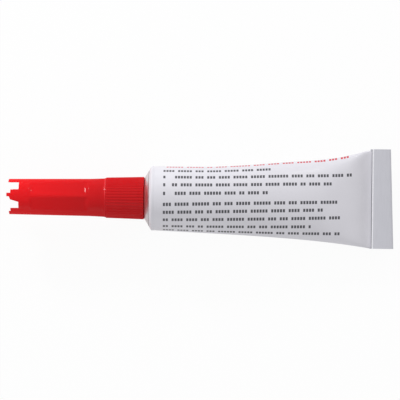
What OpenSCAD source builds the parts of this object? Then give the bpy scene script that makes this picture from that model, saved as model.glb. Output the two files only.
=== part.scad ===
// Collapsible aluminium glue tube lying on its belly, with a screwed nozzle and a pull-off cap.
// The pieces are drawn along the tube's own axis, +Z to the cap, X through the thickness, Y across the tail,
// with the rim of the shoulder at Z = 0. lay_down() then rests them on the ground, cap to -X.

/* [Tube] */
// Outside diameter of the tube at the shoulder
tube_d = 13.5; // [12:0.5:16]
// Length of the sleeve from the shoulder's rim band to the tail fold
sleeve_l = 46.5; // [40:0.5:60]
// Wall of the soft sleeve
sleeve_wall = 0.12; // [0.1:0.01:0.2]
// Height of the bare shoulder cone
shoulder_h = 1.55; // [1:0.05:2.5]
// Metal thickness of the shoulder and its rim band
shoulder_wall = 0.5; // [0.4:0.05:0.8]
// Outside diameter of the neck, over its thread
neck_d = 7; // [6:0.1:7.4]
// Height of the neck above the shoulder
neck_h = 5.4; // [4:0.1:6]
// Wall of the neck
neck_wall = 0.9; // [0.6:0.05:1.2]
// Thickness of the membrane across the mouth of the neck
membrane_t = 0.15; // [0.1:0.01:0.3]

/* [Tail] */
// Length of the folded strip along the tube
fold_l = 4.4; // [3.5:0.1:6]
// Thickness of the sealing film pressed between the two walls in the fold
film_t = 0.06; // [0.04:0.01:0.1]
// Thickness of the sealing band that lines the sleeve
seal_t = 0.1; // [0.05:0.01:0.2]

/* [Nozzle] */
// Diameter of the ribbed collar at its base
collar_d = 9.1; // [8.8:0.1:10]
// Diameter of the ribbed collar at the cap
collar_top_d = 8.66; // [8.5:0.02:9]
// Height of the ribbed collar
collar_h = 8.15; // [8:0.05:11]
// Number of ribs round the collar
rib_count = 44; // [24:2:52]
// Depth of the grooves between the ribs
rib_depth = 0.2; // [0.1:0.02:0.26]
// Diameter of the plug that the cap slides over
plug_d = 6.4; // [5.6:0.1:6.8]
// Height of the plug
plug_h = 3.2; // [2:0.1:4]
// Diameter of the spout at its foot
spout_d = 4.6; // [3.8:0.1:5]
// Diameter of the spout at its tip
spout_tip_d = 1.9; // [1.6:0.1:2.4]
// Diameter of the outlet in the tip
outlet_d = 0.8; // [0.6:0.05:1]

/* [Cap] */
// Length of the cap over its prongs
cap_l = 20.8; // [18:0.1:26]
// Diameter of the skirt at its open edge
skirt_d = 8.26; // [8.1:0.02:8.5]
// Diameter of the cap where the skirt meets the flats
cap_d = 7.98; // [7.8:0.02:8.1]
// Diameter of the cap at the tips of the crown
crown_d = 7.56; // [7.3:0.02:7.8]
// Height of the plain skirt below the flats
skirt_h = 3.2; // [2.5:0.1:4.5]
// Distance across two opposite flats
across_flats = 6.96; // [6.7:0.02:7.1]
// Depth of the slots between the prongs
crown_h = 2.53; // [1.8:0.01:3]
// Height of the plain ring between the flats and the slots
ring_h = 0.75; // [0.4:0.05:1.5]
// Wall of the crown
crown_wall = 0.68; // [0.5:0.02:0.9]

/* [Fits] */
// Radial clearance where one piece slides in another
slide_fit = 0.05; // [0.02:0.01:0.1]
// Gap between two pieces that seat on each other
seat_gap = 0.05; // [0.02:0.01:0.1]
// Room round the spout inside the cap
spout_room = 0.3; // [0.15:0.05:0.5]

/* [Hidden] */
$fn = 72;

// One overrun for every cut, and one lap for every joint between the shapes of a piece
overrun = 1;
lap = 0.2;
arc_steps = 8;

// Sleeve: how the round section at the shoulder turns into the flat fold
tube_r = tube_d / 2;
rim_h = 0.6;
rim_step = 0.03;
rim_round = 0.35;
sleeve_r = tube_r - rim_step;
sheet_t = 2 * sleeve_wall + film_t;
flat_half_w = PI * tube_r / 2;
flat_half_t = sheet_t / 2;
early_share = 0.5;
late_power = 4;
closing_power = 0.75;
sleeve_sides = 48;
sleeve_rings = 16;
ring_crowding = 1.4;
sleeve_end = -rim_h - sleeve_l;

// Tail fold and the sealing band beside it
fold_gap = 0.04;
fold_pitch = sheet_t + fold_gap;
fold_start = 0.25;
seal_from_ring = 13;
seal_to_ring = 15;
seal_gap = 0.03;

// Neck and membrane
neck_r = neck_d / 2;
neck_bore_r = neck_r - neck_wall;
neck_top = shoulder_h + neck_h;
membrane_top = neck_top + membrane_t;

// Liquid: its surface is level and three grams lie below it
fill_share = 0.43;
glue_room = seal_t + 2 * seal_gap;

// Nozzle along the axis
nozzle_z = shoulder_h + seat_gap;
neck_room = 0.25;
neck_socket_top = membrane_top + neck_room;
collar_top = nozzle_z + collar_h;
plug_top = collar_top + plug_h;
collar_round = 0.3;
plug_round = 0.25;
channel_wall = 0.7;
channel_r = spout_d / 2 - channel_wall;
outlet_l = 1.6;
groove_share = 0.75;
groove_half_w = groove_share * PI * collar_d / rib_count / 2;
collar_taper = atan((collar_d - collar_top_d) / 2 / collar_h);

// Cap along the axis
cap_z = collar_top + seat_gap;
cap_top = cap_z + cap_l;
slot_z = cap_top - crown_h;
flat_z = cap_z + skirt_h;
flat_top = slot_z - ring_h;
flat_lean = 22.5;
flat_end_r = 1.5;
skirt_round = 0.15;
end_room = 0.2;
floor_drop = 0.15;
roof_t = 1.2;
floor_z = slot_z - floor_drop;
roof_z = floor_z - roof_t;
spout_top = roof_z - end_room;
pin_l = 1;
pin_fit = 0.07;
crown_r = crown_d / 2;

// Crown outline across the cap, as shares of its radius, from the top prong to the bottom one
top_prong_share = 0.804;
middle_top_share = 0.413;
tip_top_share = 0.214;
tip_low_share = 0.011;
heel_share = -0.164;
middle_low_share = -0.294;
bottom_step_share = -0.64;
bottom_prong_share = -0.81;
step_drop = 0.8;
heel_drop = 0.53;
spike_d = 1.7;
spike_tip_d = 0.2;
spike_h = 1.55;

// Rest: the face of the belly between two rings lies level on the ground, under the centre of gravity
rest_ring = 3;
rest_from = ring_share(rest_ring);
rest_to = ring_share(rest_ring + 1);
rest_tilt = atan((belly(rest_from) - belly(rest_to)) / (rest_to - rest_from) / sleeve_l);
rest_h = belly(rest_from) * cos(rest_tilt) + (rim_h + rest_from * sleeve_l) * sin(rest_tilt);
rest_x = (cap_top + sleeve_end - fold_l) / 2 * cos(rest_tilt);
whole_l = cap_top - sleeve_end + fold_l;

// Share of the flattening reached at a share of the sleeve's length
function flatten(share) = early_share * share + (1 - early_share) * pow(share, late_power);

// Half width and half thickness of the sleeve at a share of its length, and the face of its belly
function half_w(share) = sleeve_r + (flat_half_w - sleeve_r) * flatten(share);
function half_t(share) = flat_half_t + (sleeve_r - flat_half_t) * pow(1 - flatten(share), closing_power);
function belly(share) = half_t(share) * cos(180 / sleeve_sides);

// Share of the length at a ring, closer together towards the tail
function ring_share(ring) = 1 - pow(1 - ring / sleeve_rings, ring_crowding);
function ring_shares(from, to) = [for (ring = [from : to]) ring_share(ring)];

// One oval ring of points, set in from the outside of the sleeve, with a face and not a corner at the belly
function oval(share, inset) = [for (side = [0 : sleeve_sides - 1])
    let (turn = 360 * (side + 0.5) / sleeve_sides)
    [(half_t(share) - inset) * cos(turn), (half_w(share) - inset) * sin(turn), -rim_h - share * sleeve_l]];
function lifted(ring, rise) = [for (point = ring) point + [0, 0, rise]];
function joined(rings) = [for (ring = rings) each ring];

// Triangles between ring "first" and the next one, seen from outside; an inner skin runs back along the same diagonals
function band(first, inner) = [for (side = [0 : sleeve_sides - 1])
    let (next = (side + 1) % sleeve_sides, low = first * sleeve_sides, high = low + sleeve_sides)
    each inner
        ? [[low + side, low + next, high + side], [low + next, high + next, high + side]]
        : [[low + side, low + next, high + next], [low + side, high + next, high + side]]];
function bands(first, last, inner) = [for (ring = [first : last - 1]) each band(ring, inner)];

// Points of an arc about a centre
function arc(centre, radius, from, to) = [for (step = [0 : arc_steps])
    let (turn = from + (to - from) * step / arc_steps)
    centre + radius * [cos(turn), sin(turn)]];
function reversed(points) = [for (i = [len(points) - 1 : -1 : 0]) points[i]];

module lay_down() {
    translate([rest_x, 0, rest_h])
        rotate([0, rest_tilt - 90, 0])
            children();
}

// Solid loft through a list of rings, closed by flat ends
module loft(rings) {
    last = len(rings) - 1;
    first_end = [for (side = [0 : sleeve_sides - 1]) side];
    last_end = [for (side = [0 : sleeve_sides - 1]) last * sleeve_sides + side];
    polyhedron(joined(rings), concat([reversed(first_end)], bands(0, last, false), [last_end]), convexity = 4);
}

// Thin loft: out through one list of rings and back through another
module shell_loft(outer, inner) {
    points = joined(concat(outer, reversed(inner)));
    turn = len(outer);
    loop = concat(bands(0, turn, false), bands(turn, turn + len(inner), true));
    faces = [for (face = loop) [for (corner = face) corner % len(points)]];
    polyhedron(points, faces, convexity = 4);
}

module sleeve() {
    shares = ring_shares(0, sleeve_rings);
    outer = [for (share = shares) oval(share, 0)];
    inner = [for (share = shares) oval(share, sleeve_wall)];
    shell_loft(
        concat([lifted(outer[0], rim_h / 2)], outer),
        concat([lifted(inner[0], rim_h / 2)], inner));
}

// Shoulder cone, rim band and neck, turned about the axis
module shoulder() {
    rim_in = tube_r - shoulder_wall;
    cone_in = collar_d / 2 - shoulder_wall;
    under_neck = shoulder_h - shoulder_wall;
    rotate_extrude()
        polygon(concat(
            [[rim_in, -rim_h], [tube_r, -rim_h]],
            arc([tube_r - rim_round, -rim_round], rim_round, 0, shoulder_lean()),
            [
                [collar_d / 2, shoulder_h],
                [neck_r, shoulder_h],
                [neck_r, neck_top],
                [neck_bore_r, neck_top],
                [neck_bore_r, under_neck],
                [cone_in, under_neck],
                [rim_in, -shoulder_wall]
            ]));
}

// Direction square to the shoulder cone
function shoulder_lean() = atan((tube_r - collar_d / 2) / shoulder_h);

// One face of the folded sheet: out to the end, back over itself, and tucked under
function fold_face(side) = concat(
    [[-lap, side]],
    arc([fold_l - fold_pitch - flat_half_t, fold_pitch], fold_pitch - side, -90, 90),
    arc([fold_start + fold_pitch / 2 + flat_half_t, 1.5 * fold_pitch], fold_pitch / 2 - side, 90, 270),
    [[fold_l - 2 * fold_pitch, fold_pitch + side]]);

module tail_fold() {
    translate([0, 0, sleeve_end])
        rotate([90, 90, 0])
            linear_extrude(height = 2 * flat_half_w, center = true)
                polygon(concat(fold_face(flat_half_t), reversed(fold_face(-flat_half_t))));
}

module tube() {
    color("gainsboro") lay_down() {
        sleeve();
        shoulder();
        tail_fold();
    }
}

module neck_membrane() {
    color("silver") lay_down()
        translate([0, 0, neck_top])
            cylinder(r = neck_r, h = membrane_t);
}

module tail_seal() {
    shares = ring_shares(seal_from_ring, seal_to_ring);
    color("wheat") lay_down()
        shell_loft(
            [for (share = shares) oval(share, sleeve_wall + seal_gap)],
            [for (share = shares) oval(share, sleeve_wall + seal_gap + seal_t)]);
}

// The room inside the tube, kept clear of its wall and of the sealing band
module tube_room() {
    rim_in = tube_r - shoulder_wall - glue_room;
    cone_in = collar_d / 2 - shoulder_wall - glue_room;
    under_neck = shoulder_h - shoulder_wall - glue_room;
    shares = concat([glue_room / sleeve_l], ring_shares(1, seal_to_ring));
    loft([for (share = shares) oval(share, sleeve_wall + glue_room)]);
    rotate_extrude()
        polygon([
            [0, -rim_h - lap - glue_room],
            [rim_in, -rim_h - lap - glue_room],
            [rim_in, -shoulder_wall - glue_room],
            [cone_in, under_neck],
            [neck_bore_r - glue_room, under_neck],
            [neck_bore_r - glue_room, neck_top - glue_room],
            [0, neck_top - glue_room]
        ]);
}

module glue_charge() {
    color("lightcyan", 0.6) intersection() {
        lay_down() tube_room();
        translate([-whole_l / 2, -flat_half_w, 0])
            cube([whole_l, 2 * flat_half_w, fill_share * tube_d]);
    }
}

// Outside of the nozzle: collar, plug and spout
module nozzle_body() {
    top_r = collar_top_d / 2;
    rotate_extrude()
        polygon(concat(
            [[0, nozzle_z], [collar_d / 2, nozzle_z]],
            arc([top_r - collar_round, collar_top - collar_round], collar_round, 0, 90),
            [[plug_d / 2, collar_top]],
            arc([plug_d / 2 - plug_round, plug_top - plug_round], plug_round, 0, 90),
            [[spout_d / 2, plug_top], [spout_tip_d / 2, spout_top], [0, spout_top]]));
}

// Socket for the neck, tapered channel and straight outlet
module nozzle_bore() {
    outlet_z = spout_top - outlet_l;
    rotate_extrude()
        polygon([
            [0, nozzle_z - overrun],
            [neck_r + slide_fit, nozzle_z - overrun],
            [neck_r + slide_fit, neck_socket_top],
            [channel_r, neck_socket_top],
            [outlet_d / 2, outlet_z],
            [outlet_d / 2, spout_top + overrun],
            [0, spout_top + overrun]
        ]);
}

// Grooves between the ribs, following the taper of the collar
module rib_grooves() {
    for (rib = [0 : rib_count - 1])
        rotate([0, 0, 360 * rib / rib_count])
            translate([collar_d / 2, 0, nozzle_z])
                rotate([0, -collar_taper, 0])
                    translate([0, 0, -overrun])
                        linear_extrude(height = collar_h + 2 * overrun)
                            polygon([[-rib_depth, 0], [rib_depth, -2 * groove_half_w], [rib_depth, 2 * groove_half_w]]);
}

module nozzle() {
    color("firebrick") lay_down()
        difference() {
            nozzle_body();
            nozzle_bore();
            rib_grooves();
        }
}

// Outside of the cap: flared skirt, tapered shank and crown
module cap_body() {
    rotate_extrude()
        polygon(concat(
            [[0, cap_z]],
            arc([skirt_d / 2 - skirt_round, cap_z + skirt_round], skirt_round, -90, 0),
            [[cap_d / 2, flat_z], [crown_r, cap_top], [0, cap_top]]));
}

// Room for the plug and the spout
module cap_bore() {
    socket_top = plug_top + end_room;
    rotate_extrude()
        polygon([
            [0, cap_z - overrun],
            [plug_d / 2 + slide_fit, cap_z - overrun],
            [plug_d / 2 + slide_fit, socket_top],
            [spout_d / 2 + spout_room, socket_top],
            [spout_tip_d / 2 + spout_room, roof_z],
            [0, roof_z]
        ]);
}

// Flat with a scooped run-out at each end
module flat_cut() {
    rotate([90, 0, 0])
        linear_extrude(height = cap_d, center = true)
            translate([across_flats / 2, flat_z]) {
                for (end = [flat_end_r, flat_top - flat_z - flat_end_r])
                    translate([flat_end_r, end])
                        circle(r = flat_end_r);
                translate([0, flat_end_r])
                    square([2 * flat_end_r, flat_top - flat_z - 2 * flat_end_r]);
            }
}

// Two flats on each face of the cap, meeting in a ridge
module flats() {
    for (face = [0, 180])
        for (lean = [-flat_lean, flat_lean])
            rotate([0, 0, face + lean])
                flat_cut();
}

// Recess of the crown, and the two slots that run straight through it
module crown_cut() {
    step_z = cap_top - step_drop;
    over = cap_top + overrun;
    translate([0, 0, floor_z])
        cylinder(r = crown_r - crown_wall, h = crown_h + floor_drop + overrun);
    rotate([90, 0, 90])
        linear_extrude(height = cap_d, center = true) {
            polygon([
                [crown_r * top_prong_share, over],
                [crown_r * top_prong_share, slot_z],
                [crown_r * middle_top_share, slot_z],
                [crown_r * middle_top_share, step_z],
                [crown_r * tip_top_share, step_z],
                [crown_r * tip_top_share, over]
            ]);
            polygon([
                [crown_r * tip_low_share, over],
                [crown_r * tip_low_share, cap_top - heel_drop],
                [crown_r * heel_share, step_z],
                [crown_r * middle_low_share, slot_z],
                [crown_r * bottom_step_share, slot_z],
                [crown_r * bottom_step_share, step_z],
                [crown_r * bottom_prong_share, step_z],
                [crown_r * bottom_prong_share, over]
            ]);
        }
}

// Piercing spike in the crown, and the pin that closes the outlet
module spike_and_pin() {
    translate([0, 0, floor_z - lap])
        cylinder(d = spike_d, h = lap);
    translate([0, 0, floor_z])
        cylinder(d1 = spike_d, d2 = spike_tip_d, h = spike_h);
    translate([0, 0, spout_top - pin_l])
        cylinder(r = outlet_d / 2 - pin_fit, h = pin_l + end_room + lap);
}

module cap() {
    color("crimson") lay_down() {
        difference() {
            cap_body();
            cap_bore();
            flats();
            crown_cut();
        }
        spike_and_pin();
    }
}

tube();
neck_membrane();
tail_seal();
glue_charge();
nozzle();
cap();
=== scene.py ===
"""Looks of a super glue tube: enamelled sleeve with a folded tail, ribbed nozzle and crowned cap."""

import logging
import math
from collections.abc import Callable, Sequence
from dataclasses import dataclass, field
from enum import Enum
from typing import Protocol, Union

import bmesh
import bpy
import numpy as np
from mathutils import Matrix, Vector


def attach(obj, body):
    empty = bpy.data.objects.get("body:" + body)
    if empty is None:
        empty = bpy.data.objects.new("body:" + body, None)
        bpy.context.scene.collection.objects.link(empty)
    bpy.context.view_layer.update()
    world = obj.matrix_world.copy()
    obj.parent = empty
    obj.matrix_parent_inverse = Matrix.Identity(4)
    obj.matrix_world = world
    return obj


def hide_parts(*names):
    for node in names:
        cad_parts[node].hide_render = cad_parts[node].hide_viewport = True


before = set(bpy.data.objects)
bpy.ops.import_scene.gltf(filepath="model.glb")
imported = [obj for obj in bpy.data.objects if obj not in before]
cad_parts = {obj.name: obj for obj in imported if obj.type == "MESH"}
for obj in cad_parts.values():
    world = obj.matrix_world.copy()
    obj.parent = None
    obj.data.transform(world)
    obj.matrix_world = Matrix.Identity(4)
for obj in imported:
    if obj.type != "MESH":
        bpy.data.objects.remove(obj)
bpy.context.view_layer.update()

log = logging.getLogger("glue_tube")

MM = 0.001
SHEET_UV = "sheet"
UV_PER_MM = 0.01
NOISE_ROUGHNESS = 0.55
NOISE_SPREAD = (0.3, 0.7)
ELLIPSE = 2.0
SECTION_STEPS = 400
FACING_LEAST = 0.3
SAME_HEIGHT = 1e-4
HEIGHT_DIGITS = 6
SHARP_DEG = 40.0

Point = tuple[float, float, float]
Colour = tuple[float, float, float, float]
Column = tuple[float, float, float, float]
Row = tuple[float, float]
Upright = dict[float, int]
Curve = Callable[[np.ndarray], np.ndarray]
Material = bpy.types.Material
Mesh = bpy.types.Mesh
Piece = bpy.types.Object
Socket = bpy.types.NodeSocket
Feed = Union[Socket, float, Sequence[float]]
Inputs = dict[Union[str, int], Feed]

WHITE: Colour = (1.0, 1.0, 1.0, 1.0)


class Body(Enum):
    """The moving bodies of the frame."""

    TUBE = "tube"
    NOZZLE = "nozzle"
    CAP = "cap"


class Slot(Enum):
    """The record's material slots."""

    ENAMEL = "enamelled_aluminium"
    METAL = "bare_aluminium"
    SEAL = "sealing_compound"
    GLUE = "adhesive"
    NOZZLE = "nozzle_plastic"
    CAP = "cap_plastic"


class Ink(Enum):
    """The two inks of the printed face."""

    GREY = (0.03, 0.03, 0.04, 1.0)
    RED = (0.62, 0.012, 0.03, 1.0)


@dataclass(frozen=True)
class Rest:
    """How the tube lies on the ground: its axis is raised towards the cap."""

    tilt_deg: float = 3.47033064
    x: float = -10.4308376
    height: float = 6.8000453

    def matrix(self) -> Matrix:
        """Works out how the tube's own axes, Z to the cap and X up, lie in the frame.

        Returns:
            The matrix from those axes to the frame.
        """
        c, s = math.cos(math.radians(self.tilt_deg)), math.sin(math.radians(self.tilt_deg))
        return Matrix((
            (s, 0.0, -c, self.x * MM),
            (0.0, 1.0, 0.0, 0.0),
            (c, 0.0, s, self.height * MM),
            (0.0, 0.0, 0.0, 1.0),
        ))

    def place(self, x: float, y: float, z: float) -> Vector:
        """Returns a point given in millimetres along the tube's own axes, in the frame."""
        return self.matrix() @ Vector((x * MM, y * MM, z * MM))


REST = Rest()


def smooth(low: float, high: float, value: np.ndarray) -> np.ndarray:
    """Eases from 0 at low to 1 at high.

    Args:
        low: where the rise starts.
        high: where it ends.
        value: the numbers to ease.

    Returns:
        The eased numbers.
    """
    t = np.clip((value - low) / (high - low), 0.0, 1.0)
    return t * t * (3.0 - 2.0 * t)


def soft_min(radii: Sequence[np.ndarray], blend: float) -> np.ndarray:
    """Takes the smallest of several radii, with their corners rounded.

    Args:
        radii: the radii, each for the same angles.
        blend: the rounding in millimetres.

    Returns:
        The smallest radii.
    """
    stack = np.stack([np.asarray(r, float) for r in radii])
    low = stack.min(axis=0)
    return low - blend * np.log(np.exp(-(stack - low) / blend).sum(axis=0))


def curve_through(points: Sequence[Row]) -> Curve:
    """Makes a smooth curve through points that never overshoots them.

    Args:
        points: pairs of share and value, in order.

    Returns:
        A function of the share.
    """
    x, y = (np.array(axis, float) for axis in zip(*points))
    step, rise = np.diff(x), np.diff(y) / np.diff(x)
    slope = np.zeros_like(y)
    slope[0], slope[-1] = rise[0], rise[-1]
    for i in range(1, len(x) - 1):
        if rise[i - 1] * rise[i] > 0:
            a, b = 2 * step[i] + step[i - 1], step[i] + 2 * step[i - 1]
            slope[i] = (a + b) / (a / rise[i - 1] + b / rise[i])

    def curve(share: np.ndarray) -> np.ndarray:
        """Follows the curve.

        Args:
            share: where along it.

        Returns:
            The curve's value there.
        """
        i = np.clip(np.searchsorted(x, share) - 1, 0, len(x) - 2)
        t = (share - x[i]) / step[i]
        return (
            (1 + 2 * t) * (1 - t) ** 2 * y[i] + t * (1 - t) ** 2 * step[i] * slope[i]
            + t * t * (3 - 2 * t) * y[i + 1] + t * t * (t - 1) * step[i] * slope[i + 1]
        )

    return curve


def between(a: float, b: float, share: float) -> float:
    """Returns the number at a share of the way from a to b."""
    return a + (b - a) * share


def full_turn(count: int) -> np.ndarray:
    """Returns the angles of that many points round a ring."""
    return np.linspace(0.0, 2 * math.pi, count, endpoint=False)


def hoop(radius: np.ndarray | float, angles: np.ndarray, z: float) -> np.ndarray:
    """Returns a ring of points at a height, with one radius or one for each angle."""
    return np.stack([radius * np.cos(angles), radius * np.sin(angles), np.full_like(angles, z)], 1)


def run_share(line: np.ndarray) -> np.ndarray:
    """Returns how far along a line each of its points lies, from 0 to 1."""
    run = np.concatenate([[0.0], np.cumsum(np.linalg.norm(np.diff(line, axis=0), axis=1))])
    return run / run[-1]


def arc(centre: Row, radius: float, start: float, end: float, steps: int) -> list[Row]:
    """Returns points of an arc in a plane, with its angles in degrees."""
    turns = np.radians(np.linspace(start, end, steps + 1))
    return [(centre[0] + radius * math.cos(t), centre[1] + radius * math.sin(t)) for t in turns]


@dataclass(frozen=True)
class Grain:
    """A fine roughness: its waves in a millimetre, their detail, its depth and how strongly it shows."""

    per_mm: float
    detail: float
    depth_mm: float
    strength: float


class Nodes:
    """A node tree, with short calls for its usual nodes."""

    def __init__(self, tree: bpy.types.NodeTree) -> None:
        """Works on one node tree."""
        self.tree = tree

    def node(self, kind: str, inputs: Inputs | None = None, **settings: object) -> bpy.types.Node:
        """Adds a node.

        Args:
            kind: the node's type, without its "ShaderNode" start.
            inputs: values or sockets for its inputs, by name or index.
            **settings: the node's own properties.

        Returns:
            The node.
        """
        made = self.tree.nodes.new("ShaderNode" + kind)
        for key, value in settings.items():
            setattr(made, key, value)
        for key, value in (inputs or {}).items():
            self.feed(made.inputs[key], value)
        return made

    def feed(self, socket: Socket, value: Feed) -> None:
        """Links a socket to an input, or sets the input to a plain value.

        Args:
            socket: the input.
            value: the socket or value for it.
        """
        if isinstance(value, Socket):
            self.tree.links.new(value, socket)
        else:
            socket.default_value = value

    def math(self, operation: str, a: Feed, b: Feed = 0.0, c: Feed = 0.0) -> Socket:
        """Returns the result of one sum on numbers or sockets."""
        return self.node("Math", {0: a, 1: b, 2: c}, operation=operation).outputs[0]

    def times(self, a: Feed, b: Feed) -> Socket:
        """Returns the product of two numbers or sockets."""
        return self.math("MULTIPLY", a, b)

    def apart(self, a: Feed, b: Feed) -> Socket:
        """Returns how far two numbers or sockets lie apart."""
        return self.math("ABSOLUTE", self.math("SUBTRACT", a, b))

    def ease(self, value: Feed, low: float, high: float, start: float = 0.0, end: float = 1.0) -> Socket:
        """Eases a value between two others.

        Args:
            value: the value.
            low: where the change starts.
            high: where it ends.
            start: the result up to low.
            end: the result from high on.

        Returns:
            The eased value.
        """
        made = self.node(
            "MapRange", {"Value": value, "From Min": low, "From Max": high, "To Min": start, "To Max": end},
            interpolation_type="SMOOTHSTEP",
        )
        return made.outputs["Result"]

    def mix(self, share: Feed, a: Feed, b: Feed) -> Socket:
        """Mixes two colours.

        Args:
            share: how much of the second.
            a: the first.
            b: the second.

        Returns:
            The mixed colour.
        """
        made = self.node("Mix", data_type="RGBA")
        for index, value in ((0, share), (6, a), (7, b)):
            self.feed(made.inputs[index], value)
        return made.outputs[2]

    def place(self) -> Socket:
        """Returns the point on the piece along the tube's own axes, in metres."""
        return self.node("TexCoord").outputs["Object"]

    def axes(self, vector: Socket) -> tuple[Socket, ...]:
        """Returns the three parts of a vector."""
        return tuple(self.node("SeparateXYZ", {0: vector}).outputs)

    def noise(self, vector: Socket, per_mm: float, detail: float = 3.0) -> Socket:
        """Returns a noise value with about that many waves in a millimetre."""
        inputs = {"Vector": vector, "Scale": per_mm / MM, "Detail": detail, "Roughness": NOISE_ROUGHNESS}
        return self.node("TexNoise", inputs).outputs["Fac"]

    def spread(self, noise: Socket, start: float = 0.0, end: float = 1.0) -> Socket:
        """Returns a noise spread over the whole range from start to end."""
        return self.ease(noise, *NOISE_SPREAD, start, end)

    def drawn_out(self, vector: Socket, scale: Point) -> Socket:
        """Returns a point with its axes scaled, so that what is drawn on it is stretched."""
        return self.node("Mapping", {"Vector": vector, "Scale": scale}).outputs[0]

    def roughen(self, vector: Socket, grain: Grain, under: Socket | None = None) -> tuple[Socket, Socket]:
        """Roughens the surface's normal by a grain.

        Args:
            vector: the point on the piece.
            grain: the grain.
            under: another normal below it, if there is one.

        Returns:
            The grain's noise and the roughened normal.
        """
        noise = self.noise(vector, grain.per_mm, grain.detail)
        inputs = {"Height": noise, "Distance": grain.depth_mm * MM, "Strength": grain.strength}
        made = self.node("Bump", inputs)
        if under is not None:
            self.feed(made.inputs["Normal"], under)
        return noise, made.outputs["Normal"]


class Graph(Nodes):
    """The node tree of one material."""

    def __init__(self, name: str) -> None:
        """Starts a material with one Principled shader.

        Args:
            name: the material's name.
        """
        self.material = bpy.data.materials.new(name)
        self.material.use_nodes = True
        super().__init__(self.material.node_tree)
        self.shader = self.tree.nodes["Principled BSDF"]

    def set(self, **values: Feed) -> None:
        """Sets or links the shader's inputs; a name has _ for each space."""
        for key, value in values.items():
            self.feed(self.shader.inputs[key.replace("_", " ")], value)


class Finish(Protocol):
    """Anything that makes the material of a piece."""

    def build(self) -> Material:
        """Returns the material."""


@dataclass(frozen=True)
class PrintedLine:
    """One line of plain blocks on the printed face, in millimetres on the unrolled sleeve."""

    across: float
    start: float
    end: float
    ink: Ink = Ink.GREY
    height: float = 0.72


PRINTED_FACE: tuple[PrintedLine, ...] = (
    PrintedLine(9.05, 2.5, 42.2, Ink.RED, 0.80),
    PrintedLine(6.85, 2.5, 25.3),
    PrintedLine(4.85, 4.2, 43.0),
    PrintedLine(4.85, 2.5, 3.1),
    PrintedLine(2.90, 4.2, 38.2),
    PrintedLine(2.90, 2.5, 3.1),
    PrintedLine(0.98, 4.2, 25.0),
    PrintedLine(0.98, 2.5, 3.1),
    PrintedLine(-1.35, 2.5, 40.3),
    PrintedLine(-3.10, 2.5, 36.5),
    PrintedLine(-4.95, 2.5, 41.2),
    PrintedLine(-6.95, 2.5, 34.0),
    PrintedLine(-8.75, 2.5, 40.3),
)


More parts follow.
